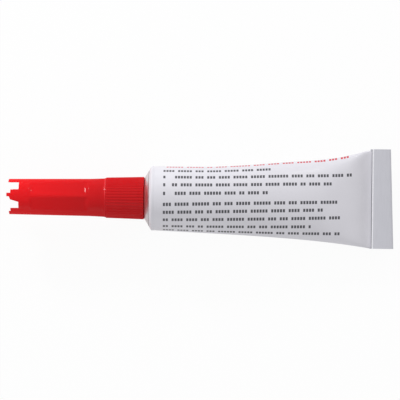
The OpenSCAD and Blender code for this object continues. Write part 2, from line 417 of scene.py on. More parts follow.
@dataclass(frozen=True)
class Enamel:
    """Stoved white enamel on soft aluminium, with the printed face where the sheet has one."""

    name: str = "white_enamel"
    colour: Colour = (0.768, 0.757, 0.812, 1.0)
    shade: Colour = (0.738, 0.727, 0.782, 1.0)
    printed: tuple[PrintedLine, ...] = ()
    grain: Grain = Grain(2.2, 4.0, 0.004, 0.35)
    waves: Grain = Grain(0.35, 2.0, 0.03, 0.25)
    mottle_per_mm: float = 0.09
    print_drift: float = 0.023
    print_squeeze: float = 0.0011
    word_mm: float = 3.4
    block_mm: float = 0.62
    block_gap: float = 0.17
    gap_soft: float = 0.03
    line_soft: float = 0.06
    line_shift: float = 17.3
    ink_cover: float = 0.95
    ink_rough: float = 0.06
    rough: Row = (0.32, 0.42)
    coat: float = 0.12
    coat_rough: float = 0.12
    bare_from: float | None = None
    bare_rough: Row = (0.25, 0.37)
    bare_soft: float = 0.03
    bare_ragged: float = 0.12
    ragged_per_mm: float = 0.8
    rings_per_mm: float = 9.0
    bare_dull: Colour = (0.74, 0.75, 0.77, 1.0)
    bare_bright: Colour = (0.86, 0.865, 0.875, 1.0)
    # The colour of a painted shade line on the metal just past the enamel's edge.
    painted_shade_line: Colour = (0.14, 0.12, 0.13, 1.0)
    shade_line_at: float = 0.08
    shade_line_half: Row = (0.03, 0.11)
    shade_line_cover: float = 0.75

    def build(self) -> Material:
        """Mixes the enamel, with its print or its bare metal.

        Returns:
            The material.
        """
        g = Graph(self.name)
        place = g.place()
        mottle = g.noise(place, self.mottle_per_mm, 2.0)
        colour = g.mix(g.ease(mottle, 0.35, 0.7), self.colour, self.shade)
        fine, normal = g.roughen(place, self.grain)
        _, normal = g.roughen(place, self.waves, normal)
        rough = g.spread(fine, *self.rough)
        if self.printed:
            colour, rough = self.print_on(g, colour, rough)
        if self.bare_from is not None:
            colour, rough = self.bare_edge(g, place, colour, rough)
        g.set(
            Base_Color=colour, Roughness=rough, Normal=normal,
            Coat_Weight=self.coat, Coat_Roughness=self.coat_rough,
        )
        return g.material

    def print_on(self, g: Graph, colour: Socket, rough: Socket) -> tuple[Socket, Socket]:
        """Lays the printed lines over the enamel.

        Args:
            g: the material's nodes.
            colour: the enamel's colour.
            rough: its roughness.

        Returns:
            The colour and roughness with the print.
        """
        sheet = g.node("UVMap", uv_map=SHEET_UV).outputs[0]
        u, v, _ = g.axes(sheet)
        along = g.math("DIVIDE", u, UV_PER_MM)
        across = g.math("MULTIPLY_ADD", along, -self.print_drift, g.math("DIVIDE", v, UV_PER_MM))
        across = g.math("DIVIDE", across, g.math("MULTIPLY_ADD", along, -self.print_squeeze, 1.0))
        step = g.math("PINGPONG", along, self.block_mm / 2)
        blocks = g.ease(step, self.block_gap / 2 - self.gap_soft, self.block_gap / 2 + self.gap_soft)
        number = g.math("FLOOR", g.math("DIVIDE", along, self.block_mm))
        middle = g.times(g.math("ADD", number, 0.5), self.block_mm)
        for ink in Ink:
            cover = None
            for order, line in enumerate(self.printed):
                if line.ink is ink:
                    bar = self.bar(g, middle, across, line, order)
                    cover = bar if cover is None else g.math("MAXIMUM", cover, bar)
            if cover is not None:
                cover = g.times(cover, blocks)
                colour = g.mix(g.times(cover, self.ink_cover), colour, ink.value)
                rough = g.math("MULTIPLY_ADD", cover, self.ink_rough, rough)
        return colour, rough

    def bar(self, g: Graph, middle: Socket, across: Socket, line: PrintedLine, order: int) -> Socket:
        """Returns the cover of one printed line: runs of whole blocks, of uneven length.

        Args:
            g: the material's nodes.
            middle: the middle of the block along the sleeve.
            across: the place across the line.
            line: the line.
            order: its number, which shifts its runs.

        Returns:
            The cover, from 0 to 1.
        """
        off = g.apart(across, line.across)
        cover = g.ease(off, line.height / 2 - self.line_soft, line.height / 2 + self.line_soft, 1.0, 0.0)
        cover = g.times(cover, g.math("GREATER_THAN", middle, line.start))
        cover = g.times(cover, g.math("LESS_THAN", middle, line.end))
        if line.end - line.start > self.word_mm:
            where = g.math("ADD", g.math("DIVIDE", middle, self.word_mm), self.line_shift * order)
            gaps = g.node(
                "TexVoronoi", {"W": where, "Scale": 1.0}, voronoi_dimensions="1D", feature="DISTANCE_TO_EDGE"
            ).outputs["Distance"]
            cover = g.times(cover, g.math("GREATER_THAN", gaps, self.block_mm / self.word_mm / 2))
        return cover

    def bare_edge(self, g: Graph, place: Socket, colour: Socket, rough: Socket) -> tuple[Socket, Socket]:
        """Ends the enamel at a height along the axis, with polished turned metal above it and a dark line of
        painted shade just past the edge.

        Args:
            g: the material's nodes.
            place: the point on the piece.
            colour: the enamel's colour.
            rough: its roughness.

        Returns:
            The colour and roughness of both together.
        """
        x, y, z = g.axes(place)
        ragged = g.times(g.math("SUBTRACT", g.noise(place, self.ragged_per_mm), 0.5), self.bare_ragged * MM)
        edge = g.math("ADD", z, ragged)
        bare = g.ease(edge, (self.bare_from - self.bare_soft) * MM, (self.bare_from + self.bare_soft) * MM)
        radius = g.math("SQRT", g.math("MULTIPLY_ADD", x, x, g.times(y, y)))
        turned_at = {"W": g.math("ADD", radius, z), "Scale": self.rings_per_mm / MM, "Detail": 2.0}
        rings = g.node("TexNoise", turned_at, noise_dimensions="1D").outputs["Fac"]
        metal = g.mix(g.spread(rings), self.bare_dull, self.bare_bright)
        # Painted shade: a dark line just past where the enamel ends, mixed over the metal.
        inner, outer = self.shade_line_half
        off = g.apart(edge, (self.bare_from + self.shade_line_at) * MM)
        shade_line_mask = g.times(g.ease(off, inner * MM, outer * MM, 1.0, 0.0), self.shade_line_cover)
        metal = g.mix(shade_line_mask, metal, self.painted_shade_line)
        g.set(Metallic=bare)
        bare_rough = g.ease(rings, 0.25, 0.75, *self.bare_rough)
        rough = g.node("Mix", {0: bare, 2: rough, 3: bare_rough}, data_type="FLOAT").outputs[0]
        return g.mix(bare, colour, metal), rough


@dataclass(frozen=True)
class CrimpedEnamel:
    """The same enamel on the folded tail, darker than on the sleeve, with a painted highlight on the tucked
    bend and painted shade in the crease before it.
    """

    name: str = "crimped_enamel"
    colour: Colour = (0.63, 0.63, 0.685, 1.0)
    shade: Colour = (0.61, 0.61, 0.665, 1.0)
    # The bright colour is a painted highlight for the tucked bend.
    bright: Colour = (0.88, 0.88, 0.92, 1.0)
    # Painted shade colour for the crease in front of the bend.
    painted_crease_shade: Colour = (0.20, 0.20, 0.23, 1.0)
    grain: Grain = Enamel.grain
    combing: Grain = Grain(2.6, 3.0, 0.006, 0.3)
    comb: Point = (1.0, 0.12, 1.0)
    bend_highlight_per_mm: float = 1.2
    bend_highlight_patchiness: Row = (0.7, 1.0)
    fold_z: float = -47.1
    bend_end: float = 0.37
    bend_height: float = 0.32
    bend_soft: float = 0.05
    end_soft: float = 0.08
    crease_at: Row = (-0.15, 0.05)
    crease_shade_across: Row = (3.0, 9.0)
    crease_shade_range: Row = (0.85, 0.65)
    rough: Row = (0.32, 0.42)
    coat: float = 0.10
    coat_rough: float = 0.15

    def build(self) -> Material:
        """Mixes the enamel of the fold.

        Returns:
            The material.
        """
        g = Graph(self.name)
        place = g.place()
        x, y, z = g.axes(place)
        past = g.math("SUBTRACT", self.fold_z, g.math("DIVIDE", z, MM))
        _, normal = g.roughen(place, self.grain)
        combed, normal = g.roughen(g.drawn_out(place, self.comb), self.combing, normal)
        colour = g.mix(g.ease(combed, 0.35, 0.7), self.colour, self.shade)
        low, high = self.bend_height - self.bend_soft, self.bend_height + self.bend_soft
        raised = g.ease(x, low * MM, high * MM)
        ends = g.ease(past, self.bend_end - self.end_soft, self.bend_end + self.end_soft, 1.0, 0.0)
        bend = g.times(raised, ends)
        # Painted highlight: the raised bend is lightened, broken up by noise.
        painted_bend_highlight = g.times(bend, g.ease(g.noise(place, self.bend_highlight_per_mm), 0.2, 0.6, *self.bend_highlight_patchiness))
        colour = g.mix(painted_bend_highlight, colour, self.bright)
        # Painted shade: the sheet just in front of the fold's bend is darkened, most across the middle of the
        # tail.
        crease = g.times(g.math("SUBTRACT", 1.0, raised), g.ease(past, *self.crease_at))
        start, end = self.crease_shade_across
        depth = g.ease(g.math("ABSOLUTE", y), start * MM, end * MM, *self.crease_shade_range)
        colour = g.mix(g.times(crease, depth), colour, self.painted_crease_shade)
        g.set(
            Base_Color=colour, Roughness=g.spread(combed, *self.rough), Normal=normal,
            Coat_Weight=self.coat, Coat_Roughness=self.coat_rough,
        )
        return g.material


@dataclass(frozen=True)
class Foil:
    """Thin bare metal skin, faintly ringed."""

    name: str = "membrane_foil"
    dull: Colour = (0.76, 0.77, 0.79, 1.0)
    bright: Colour = (0.86, 0.86, 0.87, 1.0)
    rough: Row = (0.22, 0.36)
    grain: Grain = Grain(1.4, 3.0, 0.02, 0.4)

    def build(self) -> Material:
        """Mixes the skin's metal.

        Returns:
            The material.
        """
        g = Graph(self.name)
        wrinkle, normal = g.roughen(g.place(), self.grain)
        g.set(
            Base_Color=g.mix(g.spread(wrinkle), self.dull, self.bright),
            Metallic=1.0, Roughness=g.spread(wrinkle, *self.rough), Normal=normal,
        )
        return g.material


@dataclass(frozen=True)
class MouldedPlastic:
    """Coloured plastic under a glossy film, with the bloom of a polished mould, painted light that brightens
    it along its length, and a paler lip that is a painted highlight.
    """

    name: str
    colour: Colour
    painted_lit_colour: Colour
    painted_light_from: float
    painted_light_to: float
    lip_z: float
    lip_half: float = 0.10
    # The lip colour is that of a painted highlight.
    lip: Colour = (0.90, 0.06, 0.07, 1.0)
    lip_highlight_patchiness: Row = (0.6, 1.0)
    lip_highlight_by_side: Row = (0.25, 1.0)
    lip_across: Row = (-1.0, 1.2)
    lip_core: float = 0.4
    grain: Grain = Grain(5.0, 4.0, 0.003, 0.3)
    bloom_per_mm: float = 0.7
    flow_per_mm: float = 0.22
    flow: Point = (1.0, 1.0, 0.25)
    streak: float = 0.06
    rough: Row = (0.25, 0.36)
    gloss: float = 0.13
    gloss_ior: float = 2.0
    gloss_rough: float = 0.11
    glow: float = 0.15
    glow_depth: float = 0.5
    glow_reach: Point = (1.0, 0.12, 0.08)

    def build(self) -> Material:
        """Mixes the plastic: darker at one end and brighter towards the other, as painted light along the
        axis.

        Returns:
            The material.
        """
        g = Graph(self.name)
        place = g.place()
        _, y, z = g.axes(place)
        # Painted light: the colour runs from the darker end to the lighter one along the axis, with a little
        # random streaking from the flow noise.
        reach = {"Value": z, "From Min": self.painted_light_from * MM, "From Max": self.painted_light_to * MM}
        along = g.node("MapRange", reach).outputs["Result"]
        flow = g.noise(g.drawn_out(place, self.flow), self.flow_per_mm)
        _, normal = g.roughen(place, self.grain)
        bloom = g.noise(place, self.bloom_per_mm)
        flow_and_painted_light = g.math("ADD", along, g.spread(flow, -self.streak, self.streak))
        colour = g.mix(flow_and_painted_light, self.colour, self.painted_lit_colour)
        # Painted highlight: a paler band at the lip, patchy by the bloom noise and weaker on the lower side.
        off = g.apart(z, self.lip_z * MM)
        painted_lip_highlight = g.ease(off, self.lip_core * self.lip_half * MM, self.lip_half * MM, 1.0, 0.0)
        painted_lip_highlight = g.times(painted_lip_highlight, g.ease(bloom, 0.25, 0.55, *self.lip_highlight_patchiness))
        low, high = self.lip_across
        painted_lip_highlight = g.times(painted_lip_highlight, g.ease(y, low * MM, high * MM, *self.lip_highlight_by_side))
        g.set(
            Base_Color=g.mix(painted_lip_highlight, colour, self.lip), Roughness=g.spread(bloom, *self.rough),
            Normal=normal, Specular_IOR_Level=0.0,
            Coat_Weight=self.gloss, Coat_Roughness=self.gloss_rough, Coat_IOR=self.gloss_ior,
            Subsurface_Weight=self.glow, Subsurface_Scale=self.glow_depth * MM,
            Subsurface_Radius=self.glow_reach,
        )
        return g.material


@dataclass(frozen=True)
class ClearAdhesive:
    """Water-clear thin liquid with the slightest straw tint."""

    name: str = "clear_adhesive"
    clear: Colour = (0.97, 0.98, 0.96, 1.0)
    straw: Colour = (0.95, 0.96, 0.92, 1.0)
    swirl_per_mm: float = 0.15
    rough: float = 0.03
    clarity: float = 0.95
    ior: float = 1.45

    def build(self) -> Material:
        """Mixes the liquid.

        Returns:
            The material.
        """
        g = Graph(self.name)
        swirl = g.noise(g.place(), self.swirl_per_mm, 2.0)
        g.set(
            Base_Color=g.mix(g.spread(swirl), self.clear, self.straw),
            Roughness=self.rough, IOR=self.ior, Transmission_Weight=self.clarity,
        )
        return g.material


@dataclass(frozen=True)
class LatexSeal:
    """Matt cream sealing compound, brushed on."""

    name: str = "latex_seal"
    colour: Colour = (0.72, 0.62, 0.42, 1.0)
    pale: Colour = (0.80, 0.71, 0.52, 1.0)
    rough: Row = (0.6, 0.8)
    grain: Grain = Grain(2.0, 4.0, 0.02, 0.5)
    brushing: Point = (1.0, 0.2, 1.0)

    def build(self) -> Material:
        """Mixes the compound.

        Returns:
            The material.
        """
        g = Graph(self.name)
        brushed, normal = g.roughen(g.drawn_out(g.place(), self.brushing), self.grain)
        g.set(
            Base_Color=g.mix(g.spread(brushed), self.colour, self.pale),
            Roughness=g.spread(brushed, *self.rough), Normal=normal,
        )
        return g.material


class Draft:
    """A mesh in the making: rings of points in millimetres and the faces between them."""

    def __init__(self) -> None:
        """Starts an empty mesh."""
        self.points: list[Point] = []
        self.faces: list[tuple[int, ...]] = []

    def add(self, points: Sequence[Sequence[float]]) -> list[int]:
        """Adds points.

        Args:
            points: the points in millimetres.

        Returns:
            Their numbers.
        """
        start = len(self.points)
        self.points.extend(tuple(float(x) for x in p) for p in points)
        return list(range(start, len(self.points)))

    def bridge(self, a: Sequence[int], b: Sequence[int]) -> None:
        """Joins two closed rings of equal length by quads.

        Args:
            a: one ring.
            b: the other.
        """
        count = len(a)
        for i in range(count):
            j = (i + 1) % count
            self.faces.append((a[i], a[j], b[j], b[i]))

    def fan(self, ring: Sequence[int], tip: Point) -> None:
        """Closes a ring with triangles to a tip.

        Args:
            ring: the ring.
            tip: the tip's point.
        """
        top = self.add([tip])[0]
        count = len(ring)
        self.faces.extend((ring[i], ring[(i + 1) % count], top) for i in range(count))

    def skin(self, rings: Sequence[Sequence[int]], closed: bool = False) -> None:
        """Joins each ring to the next.

        Args:
            rings: the rings in order.
            closed: whether the last also joins the first.
        """
        for a, b in zip(rings, rings[1:]):
            self.bridge(a, b)
        if closed:
            self.bridge(rings[-1], rings[0])

    def mesh(self, name: str, sharp_deg: float = SHARP_DEG) -> Mesh:
        """Makes the mesh in metres, with its faces outwards and smooth between its sharp edges.

        Args:
            name: the mesh's name.
            sharp_deg: edges steeper than this stay sharp.

        Returns:
            The mesh.
        """
        made = bpy.data.meshes.new(name)
        made.from_pydata((np.array(self.points) * MM).tolist(), [], self.faces)
        bm = bmesh.new()
        bm.from_mesh(made)
        bmesh.ops.recalc_face_normals(bm, faces=bm.faces)
        bm.to_mesh(made)
        bm.free()
        finish_mesh(made, sharp_deg)
        return made


def finish_mesh(mesh: Mesh, sharp_deg: float) -> None:
    """Shades a mesh smooth between its sharp edges.

    Args:
        mesh: the mesh to change.
        sharp_deg: edges steeper than this stay sharp.
    """
    mesh.shade_smooth()
    mesh.set_sharp_from_angle(angle=math.radians(sharp_deg))
    mesh.update()


def round_edges(mesh: Mesh, width: float, steps: int, sharp_deg: float, low_z: float) -> None:
    """Rounds the sharp edges of a mesh above a height.

    Args:
        mesh: the mesh to change.
        width: the rounding in millimetres.
        steps: faces across it.
        sharp_deg: edges steeper than this are rounded.
        low_z: in millimetres; edges below it stay.
    """
    bm = bmesh.new()
    bm.from_mesh(mesh)
    limit = math.radians(sharp_deg)
    high = [e for e in bm.edges if min(v.co.z for v in e.verts) > low_z * MM]
    edges = [e for e in high if len(e.link_faces) == 2 and e.calc_face_angle() > limit]
    bmesh.ops.bevel(
        bm, geom=edges, offset=width * MM, offset_type="OFFSET", segments=steps, profile=0.5,
        affect="EDGES", clamp_overlap=True,
    )
    bm.to_mesh(mesh)
    bm.free()


def enter(name: str, data: bpy.types.ID) -> bpy.types.Object:
    """Makes an object of its data and enters it in the scene.

    Args:
        name: the object's name.
        data: its mesh, lamp or camera.

    Returns:
        The object.
    """
    made = bpy.data.objects.new(name, data)
    bpy.context.scene.collection.objects.link(made)
    return made


def put(mesh: Mesh, finish: Finish, body: Body, slot: Slot, *nodes: str) -> Piece:
    """Places a finished mesh in the frame as a piece.

    Args:
        mesh: its mesh, along the tube's own axes.
        finish: the finish that dresses it.
        body: the body it moves with.
        slot: the record's slot for its finish; not used.
        *nodes: the CAD nodes it stands for.

    Returns:
        The piece.
    """
    piece = enter(mesh.name, mesh)
    piece.matrix_world = REST.matrix()
    mesh.materials.append(finish.build())
    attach(piece, body.value)
    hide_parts(*nodes)
    return piece


def turned(rows: Sequence[Row], angles: np.ndarray, draft: Draft) -> list[list[int]]:
    """Adds one round ring to a draft for each radius and height, and returns the rings."""
    return [draft.add(hoop(r, angles, z)) for r, z in rows]


@dataclass(frozen=True)
class Thread:
    """A right-handed screw thread: its pitch, its ends, and the shares of a turn at which its flanks run."""

    pitch: float
    low: float
    high: float
    rise: Row
    fall: Row
    shift: float = 0.0
    fade: float = 0.5

    def ridge(self, angles: np.ndarray, z: float) -> np.ndarray:
        """Follows the thread round a height.

        Args:
            angles: the angles.
            z: the height.

        Returns:
            How far it stands out at each angle, from 0 to 1.
        """
        phase = (z / self.pitch - angles / (2 * math.pi) + self.shift) % 1.0
        ridge = smooth(*self.rise, phase) * (1.0 - smooth(*self.fall, phase))
        starts = smooth(self.low, self.low + self.fade, np.array(z))
        return ridge * (starts * (1.0 - smooth(self.high - self.fade, self.high, np.array(z))))


@dataclass(frozen=True)
class Dent:
    """A shallow dent: its share of the sleeve, its place across, its depth, and its reach both ways."""

    share: float
    across: float
    depth: float
    length: float
    breadth: float


DENTS: tuple[Dent, ...] = (
    Dent(0.955, 7.4, 0.16, 0.035, 1.9),
    Dent(0.90, -5.5, 0.07, 0.06, 2.6),
    Dent(0.62, 3.5, 0.05, 0.12, 2.4),
    Dent(0.80, 1.0, 0.06, 0.08, 3.0),
    Dent(0.36, -3.8, 0.04, 0.10, 2.0),
)


@dataclass
class CollapsibleTube:
    """The aluminium tube: sleeve, folded tail, shoulder with its neck, and what is sealed inside."""

    radius: float = 6.75
    sleeve_r: float = 6.72
    broad_r: float = 6.86
    wall: float = 0.12
    sleeve_from: float = -0.30
    sleeve_start: float = -0.60
    sleeve_l: float = 46.5
    tail_top: float = 11.05
    tail_low: float = 10.25
    sheet_half: float = 0.15
    lower_even: float = 0.58
    lower_power: int = 4
    first_flat: float = 1.0
    first_reach: Row = (0.76, 0.90)
    last_flat: float = 3.0
    last_reach: Row = (0.86, 1.0)
    edge_share: float = 0.14
    columns: int = 160
    rings: int = 92
    crowding: float = 1.45
    fold_l: float = 4.43
    fold_skew: float = 0.084
    fold_pitch: float = 0.34
    fold_start: float = 0.10
    fold_steps: int = 14
    fold_columns: int = 45
    out_knots: Point = (-0.3, 0.6, 2.2)
    back_knots: Row = (2.2, 1.2)
    tuck_knot: float = 1.6
    bright_share: float = 0.8
    ripples: tuple[Point, ...] = ((0.02, 0.55, 0.6), (0.012, 1.35, 0.0))
    collar_r: float = 4.55
    shoulder_h: float = 1.55
    seat_r: float = 4.30
    cone_deg: float = 58.5
    rim_round: float = 0.20
    rim_steps: int = 6
    rim_low: float = -0.56
    rim_z: float = -0.12
    rim_step: float = 0.005
    enamel_to: float = 0.46
    metal: float = 0.5
    neck_r: float = 3.5
    thread_root: float = 3.17
    thread_pitch: float = 1.5
    thread_gap: float = 0.35
    thread_end: float = 0.25
    flank_rise: Row = (0.12, 0.34)
    flank_fall: Row = (0.52, 0.74)
    cone_shares: tuple[float, ...] = (0.12, 0.24, 0.30, 0.36, 0.42, 0.55, 0.75, 1.0)
    neck_root: tuple[Row, ...] = ((0.15, 0.03), (0.04, 0.12))
    neck_foot: float = 0.25
    neck_head: float = 0.20
    neck_rings: int = 58
    neck_lip: float = 0.08
    neck_points: int = 144
    bore_lip: float = 0.05
    neck_bore: float = 2.6
    neck_top: float = 6.95
    membrane_t: float = 0.15
    membrane_foot: float = 0.04
    membrane_lip: float = 0.05
    membrane_points: int = 72
    dish: float = 0.06
    dish_r: float = 1.6
    dish_under: Row = (2.3, 2.55)
    dish_over: Row = (2.35, 2.6)
    seal_from: float = 0.905
    seal_to: float = 0.972
    seal_gap: float = 0.03
    seal_depth: float = 0.13
    seal_rings: int = 14
    glue_gap: float = 0.16
    glue_straight: float = 0.3
    glue_from: float = 0.012
    glue_to: float = 0.965
    fill_height: float = 5.805
    upper_edge: Curve = field(init=False)
    thickness: Curve = field(init=False)

    def __post_init__(self) -> None:
        """Draws the curves of the upper edge and of the closing tail."""
        self.upper_edge = curve_through((
            (0.0, 0.0), (0.22, 0.004), (0.40, 0.10), (0.58, 0.265), (0.764, 0.435), (0.855, 0.575),
            (0.94, 0.79), (0.978, 0.905), (1.0, 0.925),
        ))
        self.thickness = curve_through((
            (0.0, 6.72), (0.10, 6.47), (0.25, 6.06), (0.40, 5.58), (0.55, 5.03), (0.70, 4.22), (0.80, 3.42),
            (0.87, 2.66), (0.92, 1.92), (0.95, 1.28), (0.972, 0.66), (0.985, 0.38), (1.0, 0.21),
        ))

    def lower_edge(self, share: np.ndarray) -> np.ndarray:
        """Returns the share of its widening that the lower edge has reached."""
        return self.lower_even * share + (1.0 - self.lower_even) * share ** self.lower_power

    def flatness(self, share: np.ndarray) -> np.ndarray:
        """Returns the power of a section's curve: 2 is an ellipse, and more is flatter in the middle."""
        first = self.first_flat * smooth(*self.first_reach, share)
        return ELLIPSE + first + self.last_flat * smooth(*self.last_reach, share)

    def section(self, share: float, inset: float, columns: int) -> np.ndarray:
        """Returns one section of the sleeve, from the middle of its back.

        Its columns are spaced as on an oval of the same size, and along the section itself at its two edges.

        Args:
            share: where it is along the sleeve.
            inset: how far it lies inside the outer skin.
            columns: points round it, a multiple of four.

        Returns:
            The points' thickness and width positions.
        """
        at = np.array(share)
        up = between(self.broad_r, self.tail_top, float(self.upper_edge(at))) - inset
        low = between(self.broad_r, self.tail_low, float(self.lower_edge(at))) - inset
        thick = float(self.thickness(at)) - inset
        bend = ELLIPSE / float(self.flatness(at))
        found = []
        for start, width in ((0.0, low), (math.pi, up)):
            turn = np.linspace(start, start + math.pi, SECTION_STEPS)
            x, y = (-np.sign(part) * np.abs(part) ** bend for part in (np.cos(turn), np.sin(turn)))
            line = np.stack([thick * x, width * y], 1)
            oval = np.stack([thick * np.sign(x) * np.sqrt(np.maximum(1.0 - y * y, 0.0)), width * y], 1)
            at_edge = 1.0 - smooth(0.0, self.edge_share, np.abs(run_share(oval) - 0.5))
            run = np.maximum.accumulate(run_share(oval) * (1.0 - at_edge) + run_share(line) * at_edge)
            even = np.linspace(0.0, 1.0, columns // 2 + 1)[:-1]
            found.append(np.stack([np.interp(even, run, line[:, k]) for k in range(2)], 1))
        return np.concatenate(found)

    def handled(self, share: float, points: np.ndarray) -> np.ndarray:
        """Adds the shallow dents of soft metal to a section.

        Args:
            share: where the section is along the sleeve.
            points: its thickness and width positions.

        Returns:
            The points with the dents.
        """
        x, y = points[:, 0].copy(), points[:, 1]
        for dent in DENTS:
            weight = math.exp(-((share - dent.share) / dent.length) ** 2)
            reach = np.exp(-((y - dent.across) / dent.breadth) ** 2)
            x -= dent.depth * weight * reach * smooth(0.0, 1.0, x)
        return np.stack([x, y], 1)

    def shares(self) -> np.ndarray:
        """Returns the shares of the sleeve's rings, closer together towards the tail."""
        t = np.linspace(0.0, 1.0, self.rings)
        return 1.0 - (1.0 - t) ** self.crowding

    def ring(self, share: float, inset: float) -> np.ndarray:
        """Draws one ring of the sleeve.

        Args:
            share: where it is along the sleeve.
            inset: how far it lies inside the outer skin.

        Returns:
            Its points.
        """
        flat = self.handled(share, self.section(share, inset, self.columns))
        z = self.sleeve_start - share * self.sleeve_l
        return np.column_stack([flat, np.full(len(flat), z)])

    def build_sleeve(self) -> Piece:
        """Builds the sleeve.

        Returns:
            The piece.
        """
        draft = Draft()
        start = np.array([0.0, 0.0, self.sleeve_from - self.sleeve_start])
        outer, inner = (
            [self.ring(0.0, inset) + start] + [self.ring(s, inset) for s in self.shares()]
            for inset in (0.0, self.wall)
        )
        draft.skin([draft.add(r) for r in outer + inner[::-1]], closed=True)
        mesh = draft.mesh("sleeve", sharp_deg=60.0)
        self.unroll(mesh)
        return put(mesh, Enamel(printed=PRINTED_FACE), Body.TUBE, Slot.ENAMEL, "tube")

    def unroll(self, mesh: Mesh) -> None:
        """Gives the sleeve a flat map: along the axis, and round the sheet from the middle of its face.

        Args:
            mesh: the sleeve's mesh.
        """
        layer = mesh.uv_layers.new(name=SHEET_UV)
        around = 2 * math.pi * self.sleeve_r
        for face in mesh.polygons:
            numbers = [mesh.loops[i].vertex_index for i in face.loop_indices]
            at = [n % self.columns for n in numbers]
            over = max(at) - min(at) > self.columns // 2
            for loop, number, column in zip(face.loop_indices, numbers, at):
                turn = (column + (self.columns if over and column == 0 else 0)) / self.columns
                along = -mesh.vertices[number].co.z / MM
                layer.uv[loop].vector = (along * UV_PER_MM, (turn - 0.5) * around * UV_PER_MM)

    def fold_line(self, side: float) -> list[Row]:
        """Draws one face of the folded sheet: out to the end, back over itself and tucked under.

        Args:
            side: how far the face lies from the middle of the sheet.

        Returns:
            Points past the sleeve's end and above its middle.
        """
        pitch, half = self.fold_pitch, self.sheet_half
        end, tuck = (self.fold_l - pitch - half, pitch), (self.fold_start + pitch / 2 + half, 1.5 * pitch)
        return (
            [(x, side) for x in self.out_knots]
            + arc(end, pitch - side, -90, 90, self.fold_steps)
            + [(x, 2 * pitch - side) for x in self.back_knots]
            + arc(tuck, pitch / 2 - side, 90, 270, self.fold_steps)
            + [(x, pitch + side) for x in (self.tuck_knot, self.fold_l - 2 * pitch)]
        )

    def build_fold(self) -> Piece:
        """Builds the twice-folded tail.

        Returns:
            The piece.
        """
        draft = Draft()
        line = np.array(self.fold_line(self.sheet_half) + self.fold_line(-self.sheet_half)[::-1])
        end = self.sleeve_start - self.sleeve_l
        middle, half = (self.tail_top - self.tail_low) / 2, (self.tail_top + self.tail_low) / 2
        rings = []
        for y in np.linspace(-self.tail_low, self.tail_top, self.fold_columns):
            stretch = 1.0 - self.fold_skew * (y - middle) / half
            wave = sum(height * math.sin(rate * y + phase) for height, rate, phase in self.ripples)
            lift = wave * np.clip(line[:, 0] / self.fold_l, 0.0, 1.0)
            rings.append(draft.add(np.column_stack([
                line[:, 1] + lift, np.full(len(line), y), end - line[:, 0] * stretch
            ])))
        draft.skin(rings)
        draft.faces.extend((tuple(rings[0]), tuple(rings[-1])))
        mesh = draft.mesh("tail_fold", sharp_deg=50.0)
        crimped = CrimpedEnamel(fold_z=end, bend_end=self.fold_start + self.bright_share * self.fold_pitch)
        return put(mesh, crimped, Body.TUBE, Slot.ENAMEL, "tube")

    def thread(self, angles: np.ndarray, z: float) -> np.ndarray:
        """Follows the neck round a height, with its thread.

        Args:
            angles: the angles.
            z: the height.

        Returns:
            The radius at each angle.
        """
        low, high = self.shoulder_h + self.thread_gap, self.neck_top - self.thread_end
        thread = Thread(self.thread_pitch, low, high, self.flank_rise, self.flank_fall)
        return between(self.thread_root, self.neck_r, thread.ridge(angles, z))

    def build_shoulder(self) -> Piece:
        """Builds the rim, the shoulder cone and the threaded neck.

        Returns:
            The piece.
        """
        draft = Draft()
        angles = full_turn(self.neck_points)
        rim_in, cone_in = self.radius - self.metal, self.collar_r - self.metal
        under = self.shoulder_h - self.metal
        rows = [(rim_in, self.sleeve_start), (self.sleeve_r + self.rim_step, self.sleeve_start)]
        rows += [(self.radius, self.rim_low)]
        bend = (self.radius - self.rim_round, self.rim_z)
        rows += arc(bend, self.rim_round, 0, self.cone_deg, self.rim_steps)
        rim_r, rim_z = rows[-1]
        for t in self.cone_shares:
            rows.append((between(rim_r, self.seat_r, t), between(rim_z, self.shoulder_h, t)))
        rows += [(self.thread_root + out, self.shoulder_h + up) for out, up in self.neck_root]
        rings = turned(rows, angles, draft)
        low, high = self.shoulder_h + self.neck_foot, self.neck_top - self.neck_head
        for z in np.linspace(low, high, self.neck_rings):
            rings.append(draft.add(hoop(self.thread(angles, z), angles, z)))
        inside = [
            (self.thread_root, self.neck_top - self.neck_lip),
            (self.thread_root - self.neck_lip, self.neck_top),
            (self.neck_bore + self.bore_lip, self.neck_top),
            (self.neck_bore, self.neck_top - self.bore_lip),
            (self.neck_bore, under), (cone_in, under), (rim_in, -self.metal),
        ]
        rings += turned(inside, angles, draft)
        draft.skin(rings, closed=True)
        draft.points = [(x, y * self.broaden(math.hypot(x, y)), z) for x, y, z in draft.points]
        finish = Enamel("shoulder_metal", bare_from=self.enamel_to)
        mesh = draft.mesh("shoulder_and_neck", sharp_deg=35.0)
        return put(mesh, finish, Body.TUBE, Slot.METAL, "tube")

    def broaden(self, radius: float) -> float:
        """Returns how much wider than round the shoulder is at a radius, to meet the sleeve at its rim."""
        share = float(smooth(self.collar_r, self.sleeve_r, np.array(radius)))
        return between(1.0, self.broad_r / self.sleeve_r, share)

